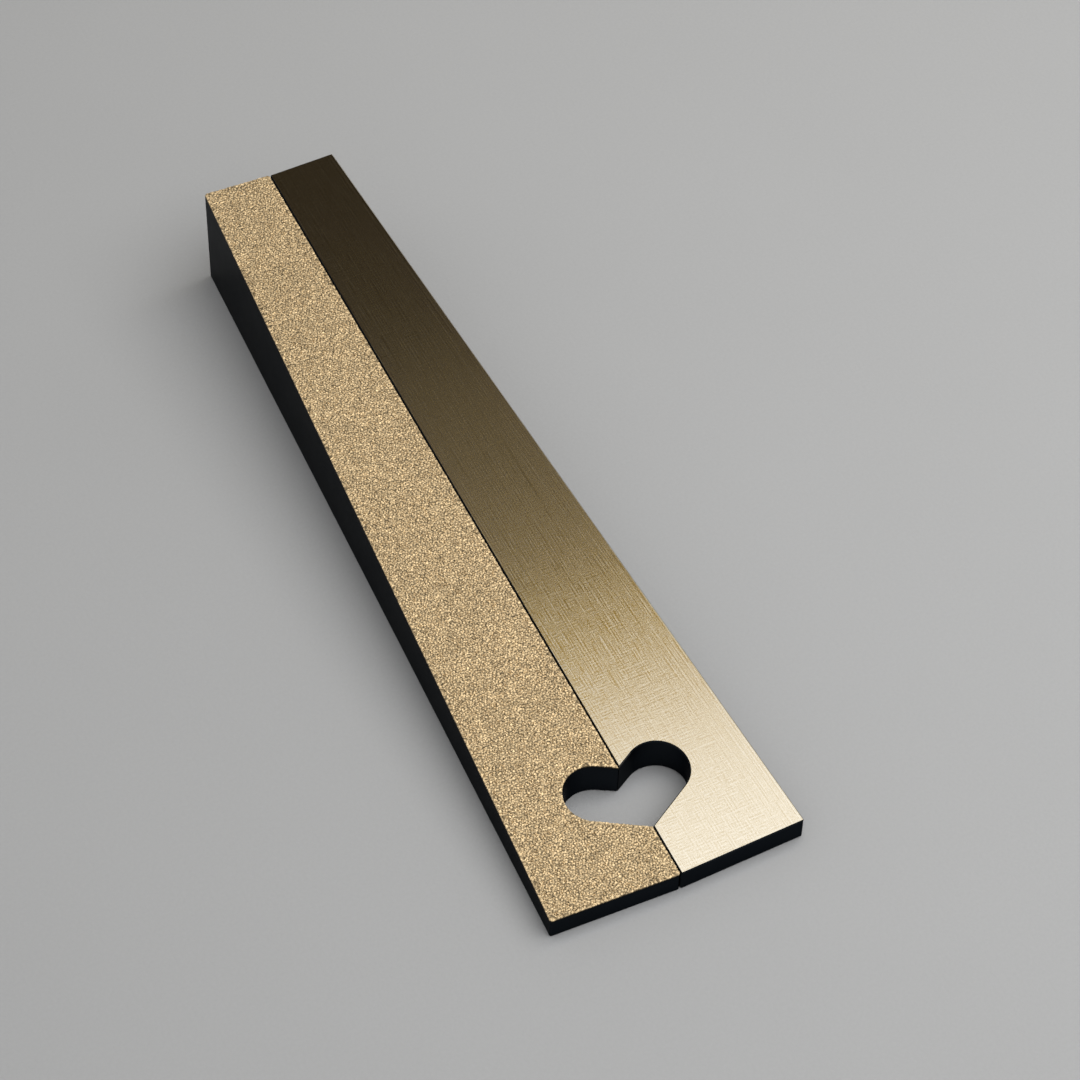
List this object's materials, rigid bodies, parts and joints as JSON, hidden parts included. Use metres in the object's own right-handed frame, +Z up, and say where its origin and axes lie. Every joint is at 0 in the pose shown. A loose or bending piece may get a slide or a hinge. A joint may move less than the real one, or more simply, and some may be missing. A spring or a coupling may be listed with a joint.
{
  "type": "leather edge finishing bar pair",
  "caption": "Pair of tapered steel wedge bars, one face coarse grit and one face satin, which pull apart and form a heart-shaped hole where they meet.",
  "frame": {"origin": "centre of the pair's underside, on the seam between the two bars", "axes": "+Z up, +Y along the seam towards the thick back end, +X across towards the satin bar"},
  "size_m": [0.0342, 0.1202, 0.0153],
  "materials": {
    "dark_steel": "dark, smooth ground steel",
    "satin_steel": "satin brushed steel with a fine cross hatch of scratches",
    "abrasive": "coarse plated grit, matt and sparkling",
    "magnet_nickel": "bright nickel plate",
    "dowel_steel": "ground hardened steel"
  },
  "bodies": {
    "textured_half": {"textured_bar": "dark_steel", "abrasive_facing": "abrasive", "textured_magnet_front": "magnet_nickel", "textured_magnet_middle": "magnet_nickel", "textured_magnet_rear": "magnet_nickel"},
    "satin_half": {"satin_bar": "satin_steel", "satin_magnet_front": "magnet_nickel", "satin_magnet_middle": "magnet_nickel", "satin_magnet_rear": "magnet_nickel", "front_dowel": "dowel_steel", "rear_dowel": "dowel_steel"}
  },
  "joints": [
    {"name": "pair_release", "type": "slide", "parent": "textured_half", "child": "satin_half", "axis": [1, 0, 0], "range_m": [0, 0.03]}
  ]
}
